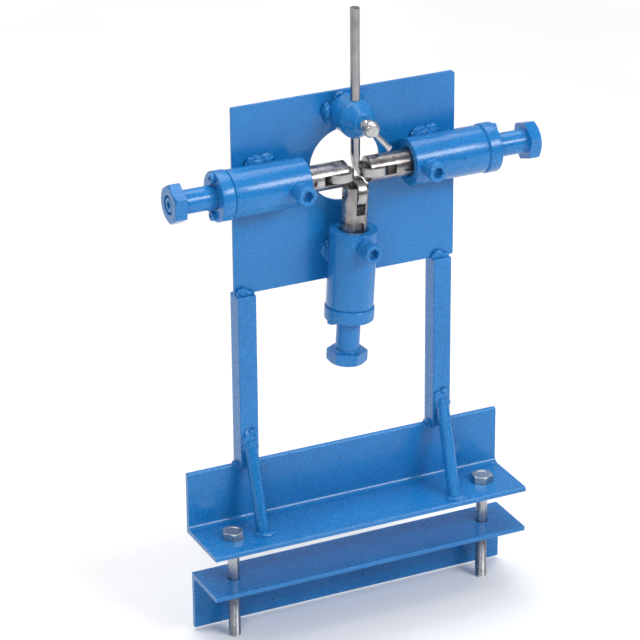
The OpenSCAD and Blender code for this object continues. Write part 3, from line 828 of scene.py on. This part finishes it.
for s, side, mid_t in ((-1, "a", MOUTH_T + 24), (1, "b", MOUTH_T + 27)):
    at = PLACE["lower"] @ Vector((0, 0, -mid_t))
    x = at.x + s * 14.4
    bead = join(
        weld_bead([(x, WELD_Y, at.z + 10), (x, WELD_Y, at.z - 10)], 3.4, 71 + s, 3.4),
        weld_blob((at.x + s * 16.0, WELD_Y, at.z + 2), (4.2, 3.4, 7.4), 73 + s))
    make("weld_barrel_lower_" + side, bead, "frame", BLUE)

# ---------------------------------------------------------------- blade and its collar

col_lo, col_hi = mm_box("blade_collar")
COL_Z = (col_lo.z + col_hi.z) / 2
COL_D = -col_lo.y
COL_R = 16.0
col_place = Matrix.Translation((0, 0, COL_Z)) @ FRONT
collar = lathe([(0, 0.2), (COL_R, 0.2), (COL_R, 24), (15.4, 25.4), (9.6, 33.4), (8.9, 34.4),
                (8.9, COL_D - 0.6), (8.3, COL_D), (0, COL_D)], 96, round_r=0.6)
hole = prism(circle(4.08, 48), -40, 40)
hole.transform(Matrix.Translation((0, 0, -AXIS_Y)) @ Matrix.Rotation(math.radians(90), 4, "X"))
collar = boolean(collar, hole)
tee_hole = prism(circle(4.05, 40), -AXIS_Y, COL_D + 5)
collar = boolean(collar, tee_hole)
make("collar_body", collar, "frame", BLUE, col_place, ["blade_collar"], bevel=0.2, angle=42)
beads = []
for a0, a1, r, seed in ((150, 215, 2.7, 81), (20, 62, 2.5, 83), (95, 128, 2.0, 85), (300, 335, 2.2, 87)):
    ring = [(16.6 * math.cos(math.radians(a)), plate_lo.y - 1.5, COL_Z + 16.6 * math.sin(math.radians(a)))
            for a in (a0 + (a1 - a0) * k / 10 for k in range(11))]
    beads.append(weld_bead(ring, r, seed))
beads.append(weld_blob((-17.2, plate_lo.y - 2.8, COL_Z + 3.5), (4.0, 3.8, 7.2), 89))
beads.append(weld_blob((12.0, plate_lo.y - 2.0, COL_Z + 12.6), (5.0, 2.8, 3.6), 88))
make("weld_collar", join(*beads), "frame", BLUE)

rod_lo, rod_hi = mm_box("blade_rod")


def blade():
    """The rod, ground to a chisel edge with two long bevels that blend into the round."""
    r, seg, bevel_len = 4.0, 64, 16.0
    heights = [0, 0.6, 1.5, 3, 4.5, 6, 7.5, 9, 10.5, 12, 13, 14, 14.8, 15.4, 15.8, 16.2, 20]
    top = rod_hi.z - rod_lo.z
    z = 30
    while z < top - 2:
        heights.append(z)
        z += 12
    heights += [top - 0.6, top]
    bm = bmesh.new()
    rings = []
    for h in heights:
        w = 0.2 + (r - 0.2) * min(1.0, h / bevel_len)
        rr = r if h < top - 0.1 else r - 0.6
        ring = []
        for i in range(seg):
            a = 2 * math.pi * i / seg
            x, y = rr * math.cos(a), rr * math.sin(a)
            x = max(-w, min(w, x))
            ring.append(bm.verts.new((x, y, h)))
        rings.append(ring)
    for a, b in zip(rings, rings[1:]):
        for i in range(seg):
            j = (i + 1) % seg
            bm.faces.new((a[i], a[j], b[j], b[i]))
    bm.faces.new(list(reversed(rings[0])))
    bm.faces.new(rings[-1])
    at_tip = Matrix.Translation((0, AXIS_Y, rod_lo.z))
    make("blade_rod_body", bm, "blade", POLISHED, at_tip, ["blade_rod"], angle=12)


blade()

tee_lo, tee_hi = mm_box("tee_screw")
TEE_Y = tee_lo.y + 5.0
LEAN = math.radians(40.5)
tee_place = Matrix.Translation((0, 0, COL_Z)) @ FRONT
tommy_place = Matrix.Translation((0, TEE_Y, COL_Z)) @ Matrix.Rotation(-LEAN, 4, "Y")


def tee():
    y0 = -tee_hi.y
    shank = screw_thread(3.95, 1.25, y0, 43.5, 0.6, 36, 8)
    make("tee_screw_thread", shank, "tee_screw", ZINC, tee_place, angle=60)
    y1 = -tee_lo.y
    head = lathe([(0, y1 - 10), (5.4, y1 - 10), (6.6, y1 - 8.6), (7, y1 - 6.4), (6.9, y1 - 3.2),
                  (5.9, y1 - 0.9), (4.4, y1), (0, y1)], 64, round_r=0.8)
    bore = prism(circle(2.3, 32), -20, 20)
    bore.transform(Matrix.Translation((0, 0, -TEE_Y)) @ Matrix.Rotation(LEAN, 4, "Z") @ FRONT)
    head = boolean(head, bore)
    make("tee_screw_head", head, "tee_screw", ZINC, tee_place, ["tee_screw"],
         bevel=0.35, angle=45)
    up, length, knob = 9.6, 36.5, 3.2
    low = up - length
    bar = lathe([(0, up), (1.6, up), (2.9, up - 0.5), (knob - 0.1, up - 1.5), (2.25, up - 2.5),
                 (2.25, low + 2.8), (knob - 0.1, low + 1.7), (2.7, low + 0.6), (1.4, low), (0, low)],
                36, round_r=0.35)
    for v in bar.verts:
        # the ends were pinched flat in a press so that the bar can't fall out
        end = max(0.0, (abs(v.co.z - (up - length / 2)) - length / 2 + 3.0) / 3.0)
        v.co.y *= 1 - 0.42 * min(1.0, end * 1.4)
    make("tommy_bar_body", bar, "tommy_bar", ZINC, tommy_place, ["tommy_bar"], angle=50)


tee()

# ---------------------------------------------------------------- clamp bolts

CLAMP_AF = 17.0
CLAMP_HEAD_H = 6.4
CLAMP_BOLT_R = 4.95

for s, side in ((-1, "left"), (1, "right")):
    lo, hi = mm_box("clamp_bolt_" + side)
    base = hi.z - CLAMP_HEAD_H
    pl = Matrix.Translation((s * BOLT_X, BOLT_Y, base))
    head = hex_head(CLAMP_AF, CLAMP_HEAD_H, 12 if s < 0 else 24)
    # shallow dished top with a forged rim
    dished, above = CLAMP_HEAD_H - 0.45, CLAMP_HEAD_H + 0.4
    head = boolean(head, lathe([(0, dished), (5.2, dished), (6.4, above), (0, above)], 64))
    # a hair above the flange, so that the two flat faces don't share one plane
    seat = pl @ Matrix.Translation((0, 0, 0.02))
    make("clamp_bolt_head_" + side, head, "clamp_bolt_" + side, ZINC, seat,
         ["clamp_bolt_" + side], bevel=0.3, angle=30, segs=3)
    long = base - lo.z
    plain = base - cla_hi.z + 2.5
    neck = lathe([(0, 0.4), (CLAMP_BOLT_R, 0.4), (CLAMP_BOLT_R, -plain), (4.55, -plain - 1.2),
                  (0, -plain - 1.2)], 48, round_r=0.3)
    make("clamp_bolt_shank_" + side, neck, "clamp_bolt_" + side, ZINC, pl, angle=40)
    th = screw_thread(CLAMP_BOLT_R, 1.5, -long, -plain - 0.6, 0.85, 40, 8)
    make("clamp_bolt_thread_" + side, th, "clamp_bolt_" + side, ZINC, pl, angle=60)
    n_lo, n_hi = mm_box("clamp_nut_" + side)
    nut = hex_head(CLAMP_AF, n_hi.z - n_lo.z, 30, both=True)
    nut = boolean(nut, prism(circle(5.05, 40), -2, 12))
    make("clamp_nut_body_" + side, nut, "clamp", BLUE,
         Matrix.Translation((s * BOLT_X, BOLT_Y, n_lo.z)), ["clamp_nut_" + side], bevel=0.3, angle=30)
    beads = [weld_bead([(s * BOLT_X + 9.4 * math.cos(a), BOLT_Y + 9.4 * math.sin(a), n_hi.z - 0.9)
                        for a in (math.radians(d0 + 5 * k) for k in range(12))], 1.6, 91 + d0)
             for d0 in (40, 220)]
    make("weld_clamp_nut_" + side, join(*beads), "clamp", BLUE)

# ---------------------------------------------------------------- stage, light and camera


def floor_material():
    n = Nodes("pale_floor")
    colour = n.ramp(n.noise(3, 2), [(0.4, (0.86, 0.86, 0.86)), (0.6, (0.90, 0.90, 0.90))])
    return n.set(Base_Color=colour, Roughness=0.8)


FLOOR_HALF = 6.0
floor_z = cad_lo.z - 0.0005
bm = bmesh.new()
rows = []
for i in range(13):
    y = -FLOOR_HALF + i / 12 * 2 * FLOOR_HALF
    rows.append([bm.verts.new((x * FLOOR_HALF, y, floor_z)) for x in (-1, -0.5, 0, 0.5, 1)])
for a, b in zip(rows, rows[1:]):
    for j in range(4):
        bm.faces.new((a[j], a[j + 1], b[j + 1], b[j]))
me = bpy.data.meshes.new("floor")
bm.to_mesh(me)
bm.free()
floor = bpy.data.objects.new("floor", me)
bpy.context.scene.collection.objects.link(floor)
me.materials.append(floor_material())

scene = bpy.context.scene
scene.view_settings.view_transform = "Standard"
world = bpy.data.worlds.new("studio")
scene.world = world
world.use_nodes = True
wt = world.node_tree
bg = wt.nodes["Background"]
bg.inputs["Strength"].default_value = 0.46
sky = wt.nodes.new("ShaderNodeTexCoord")
shade = wt.nodes.new("ShaderNodeValToRGB")
dark_end, light_end = shade.color_ramp.elements
dark_end.position = 0.25
dark_end.color = (0.16, 0.165, 0.18, 1)
light_end.position = 0.80
light_end.color = (1, 1, 1, 1)
half = wt.nodes.new("ShaderNodeMapRange")
half.inputs["From Min"].default_value = -1.0
tilt = wt.nodes.new("ShaderNodeVectorMath")
tilt.operation = "DOT_PRODUCT"
tilt.inputs[1].default_value = (0.0, 0.62, 0.78)
wt.links.new(sky.outputs["Generated"], tilt.inputs[0])
wt.links.new(tilt.outputs["Value"], half.inputs["Value"])
wt.links.new(half.outputs[0], shade.inputs["Fac"])
wt.links.new(shade.outputs["Color"], bg.inputs["Color"])


def area(name, at, look, size, power):
    data = bpy.data.lights.new(name, "AREA")
    data.shape = "RECTANGLE"
    data.size, data.size_y = size
    data.energy = power
    ob = bpy.data.objects.new(name, data)
    scene.collection.objects.link(ob)
    ob.location = at
    ob.rotation_mode = "QUATERNION"
    ob.rotation_quaternion = (Vector(look) - Vector(at)).to_track_quat("-Z", "Y")


mid = (cad_lo + cad_hi) / 2
area("key", (0.85, -1.55, 1.35), mid, (1.0, 0.55), 25)
area("top", (0.1, 1.4, 3.2), (0, 1.3, 0), (3.4, 3.4), 95)
area("left", (-1.15, -1.45, 1.25), mid, (0.7, 0.35), 11)

# the camera stands in front, to the left and above, and turns about CAM_TARGET (degrees and metres)
CAM_SIDE, CAM_ABOVE, CAM_ROLL = 25.34, 24.08, -0.45
CAM_TARGET = Vector((-0.0236, 0.0, 0.1742))
CAM_DISTANCE = 2.638
CAM_LENS = 178.0

cam_data = bpy.data.cameras.new("camera")
cam_data.sensor_width = 36.0
cam_data.lens = CAM_LENS
cam_data.clip_start, cam_data.clip_end = 0.05, 50
cam = bpy.data.objects.new("camera", cam_data)
scene.collection.objects.link(cam)
scene.camera = cam
th, ph, roll = math.radians(CAM_SIDE), math.radians(CAM_ABOVE), math.radians(CAM_ROLL)
w = Vector((math.sin(th) * math.cos(ph), math.cos(th) * math.cos(ph), -math.sin(ph)))
r0 = Vector((math.cos(th), -math.sin(th), 0))
u0 = Vector((math.sin(th) * math.sin(ph), math.cos(th) * math.sin(ph), math.cos(ph)))
r1 = r0 * math.cos(roll) + u0 * math.sin(roll)
u1 = u0 * math.cos(roll) - r0 * math.sin(roll)
rot = Matrix((r1, u1, -w)).transposed()
cam.rotation_mode = "QUATERNION"
cam.rotation_quaternion = rot.to_quaternion()
cam.location = CAM_TARGET - w * CAM_DISTANCE
